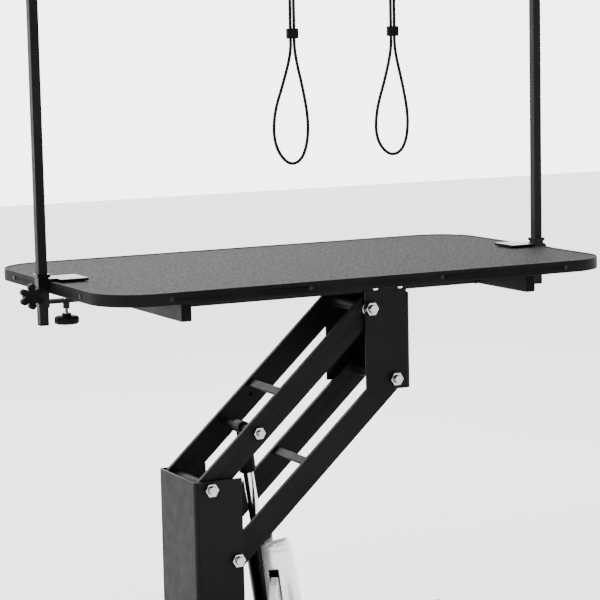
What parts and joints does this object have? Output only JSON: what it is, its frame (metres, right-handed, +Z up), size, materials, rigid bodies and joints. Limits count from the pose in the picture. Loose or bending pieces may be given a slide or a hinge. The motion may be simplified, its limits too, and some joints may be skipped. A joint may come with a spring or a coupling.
{
  "type": "grooming table",
  "caption": "Hydraulic lift table for grooming pets: matted top on a parallelogram lift with a foot pump, and a clamped overhead frame carrying nooses.",
  "frame": {"origin": "on the floor under the middle of the tabletop at the parked height", "axes": "+X along the table towards its right end, +Y towards its back, +Z up"},
  "size_m": [1.2032, 0.6432, 1.796],
  "materials": {
    "frame_black": "satin powder coat",
    "trim_black": "ribbed edge trim",
    "mat_rubber": "fine textured rubber",
    "board_ply": "plywood board",
    "chrome": "polished",
    "zinc": "bright zinc",
    "black_plastic": "moulded plastic",
    "black_rubber": "moulded rubber",
    "screw_black": "blackened screw",
    "cord_black": "braided nylon"
  },
  "bodies": {
    "base": {"anchor_bolts": "zinc", "base_end_plugs": "black_plastic", "base_frame": "frame_black", "column": "frame_black", "column_pivot_bolts": "zinc", "deck_plate": "frame_black", "pump_pivot_pin": "zinc"},
    "table": {"bracket_bolts": "zinc", "bracket_pivot_bolts": "zinc", "clamp_body_left": "frame_black", "clamp_body_right": "frame_black", "edge_trim": "trim_black", "edge_trim_screws": "screw_black", "lift_bracket": "frame_black", "table_board": "board_ply", "table_mat": "mat_rubber", "top_frame": "frame_black"},
    "clamp_foot_left": {"clamp_foot_left": "black_rubber"},
    "clamp_foot_right": {"clamp_foot_right": "black_rubber"},
    "clamp_screw_left": {"clamp_screw_left": "zinc"},
    "clamp_screw_right": {"clamp_screw_right": "zinc"},
    "overhead_frame": {"corner_elbows": "black_plastic", "eye_bolts": "zinc", "overhead_bar": "frame_black", "post_end_caps": "black_plastic", "posts": "frame_black"},
    "foot_front_left": {"levelling_foot_front_left": "black_rubber"},
    "foot_front_right": {"levelling_foot_front_right": "black_rubber"},
    "foot_rear_left": {"levelling_foot_rear_left": "black_rubber"},
    "foot_rear_right": {"levelling_foot_rear_right": "black_rubber"},
    "pump_unit": {"lever_pin_stand": "zinc", "pedal_pin": "zinc", "pump_block": "frame_black", "pump_cover": "chrome", "pump_cover_cap": "chrome", "ram_barrel": "frame_black"},
    "lower_arm": {"lower_arm_cross_bar": "frame_black", "lower_arm_rails": "frame_black", "lower_arm_tubes": "frame_black", "lower_arm_washers": "zinc"},
    "lowering_lever": {"lowering_lever": "chrome"},
    "noose_left": {"noose_cord_left": "cord_black", "noose_hook_left": "zinc"},
    "noose_right": {"noose_cord_right": "cord_black", "noose_hook_right": "zinc"},
    "noose_slider_left": {"noose_slider_left": "black_plastic"},
    "noose_slider_right": {"noose_slider_right": "black_plastic"},
    "pedal": {"pedal_lever": "frame_black", "pedal_pad": "black_rubber"},
    "ram": {"ram_collar": "black_plastic", "ram_head": "frame_black", "ram_rod": "chrome"},
    "upper_arm": {"ram_pivot_bolt": "zinc", "ram_pivot_tubes": "frame_black", "upper_arm_cross_bar": "frame_black", "upper_arm_rails": "frame_black", "upper_arm_tubes": "frame_black", "upper_arm_washers": "zinc"},
    "star_knob_left": {"star_knob_left": "black_plastic"},
    "star_knob_right": {"star_knob_right": "black_plastic"}
  },
  "joints": [
    {"name": "lift", "type": "hinge", "parent": "base", "child": "upper_arm", "pos_m": [-0.25, 0, 0.464], "axis": [0, -1, 0], "range_deg": [-30, 18]},
    {"name": "table_level", "type": "hinge", "parent": "upper_arm", "child": "table", "pos_m": [0.10946, 0, 0.79108], "axis": [0, -1, 0], "range_deg": [-18, 30]},
    {"name": "lower_arm_turn", "type": "hinge", "parent": "base", "child": "lower_arm", "pos_m": [-0.196, 0, 0.318], "axis": [0, -1, 0], "range_deg": [-30, 18]},
    {"name": "ram_turn", "type": "hinge", "parent": "upper_arm", "child": "ram", "pos_m": [-0.14053, 0, 0.56361], "axis": [0, -1, 0], "range_deg": [-15.13, 25.21]},
    {"name": "pump_rock", "type": "hinge", "parent": "base", "child": "pump_unit", "pos_m": [-0.07678, 0, 0.11], "axis": [0, -1, 0], "range_deg": [-4.81, 2.89]},
    {"name": "pedal_press", "type": "hinge", "parent": "pump_unit", "child": "pedal", "pos_m": [-0.014, -0.064, 0.118], "axis": [1, 0, 0], "range_deg": [0, 16], "stiffness_Nm_per_rad": 20, "springref_deg": -20.05},
    {"name": "lowering_press", "type": "hinge", "parent": "pump_unit", "child": "lowering_lever", "pos_m": [-0.08108, -0.03959, 0.2023], "axis": [0.7242, -0.682, 0.1018], "range_deg": [0, 10], "stiffness_Nm_per_rad": 4, "springref_deg": -20.05},
    {"name": "foot_turn_front_left", "type": "hinge", "parent": "base", "child": "foot_front_left", "pos_m": [-0.42, -0.225, 0], "axis": [0, 0, 1], "continuous": true},
    {"name": "foot_turn_front_right", "type": "hinge", "parent": "base", "child": "foot_front_right", "pos_m": [0.42, -0.225, 0], "axis": [0, 0, 1], "continuous": true},
    {"name": "foot_turn_rear_left", "type": "hinge", "parent": "base", "child": "foot_rear_left", "pos_m": [-0.42, 0.225, 0], "axis": [0, 0, 1], "continuous": true},
    {"name": "foot_turn_rear_right", "type": "hinge", "parent": "base", "child": "foot_rear_right", "pos_m": [0.42, 0.225, 0], "axis": [0, 0, 1], "continuous": true},
    {"name": "overhead_height", "type": "slide", "parent": "table", "child": "overhead_frame", "axis": [0, 0, 1], "range_m": [-0.185, 0.03]},
    {"name": "knob_turn_left", "type": "hinge", "parent": "table", "child": "star_knob_left", "pos_m": [-0.58, -0.01, 0.861], "axis": [0, -1, 0], "range_deg": [-360, 0]},
    {"name": "clamp_travel_left", "type": "slide", "parent": "table", "child": "clamp_foot_left", "axis": [0, 0, 1], "range_m": [-0.00501, 0.00001]},
    {"name": "clamp_turn_left", "type": "hinge", "parent": "clamp_foot_left", "child": "clamp_screw_left", "pos_m": [-0.5045, -0.01, 0.85], "axis": [0, 0, 1], "range_deg": [-1800, 0]},
    {"name": "knob_turn_right", "type": "hinge", "parent": "table", "child": "star_knob_right", "pos_m": [0.58, -0.01, 0.861], "axis": [0, 1, 0], "range_deg": [-360, 0]},
    {"name": "clamp_travel_right", "type": "slide", "parent": "table", "child": "clamp_foot_right", "axis": [0, 0, 1], "range_m": [-0.00501, 0.00001]},
    {"name": "clamp_turn_right", "type": "hinge", "parent": "clamp_foot_right", "child": "clamp_screw_right", "pos_m": [0.5045, -0.01, 0.85], "axis": [0, 0, 1], "range_deg": [-1800, 0]},
    {"name": "noose_swing_left", "type": "hinge", "parent": "overhead_frame", "child": "noose_left", "pos_m": [-0.013, -0.01, 1.749], "axis": [1, 0, 0], "range_deg": [-35, 35]},
    {"name": "noose_slide_left", "type": "slide", "parent": "noose_left", "child": "noose_slider_left", "axis": [0, 0, 1], "range_m": [0, 0.3]},
    {"name": "noose_swing_right", "type": "hinge", "parent": "overhead_frame", "child": "noose_right", "pos_m": [0.213, -0.01, 1.749], "axis": [1, 0, 0], "range_deg": [-35, 35]},
    {"name": "noose_slide_right", "type": "slide", "parent": "noose_right", "child": "noose_slider_right", "axis": [0, 0, 1], "range_m": [0, 0.3]}
  ],
  "couplings": [
    {"joint": "table_level", "follows": "lift", "ratio": -1},
    {"joint": "lower_arm_turn", "follows": "lift", "ratio": 1},
    {"joint": "ram_turn", "follows": "lift", "ratio": -0.84},
    {"joint": "pump_rock", "follows": "lift", "ratio": 0.16},
    {"joint": "clamp_travel_left", "follows": "clamp_turn_left", "m_per_rad": 0.00015915},
    {"joint": "clamp_travel_right", "follows": "clamp_turn_right", "m_per_rad": 0.00015915}
  ]
}
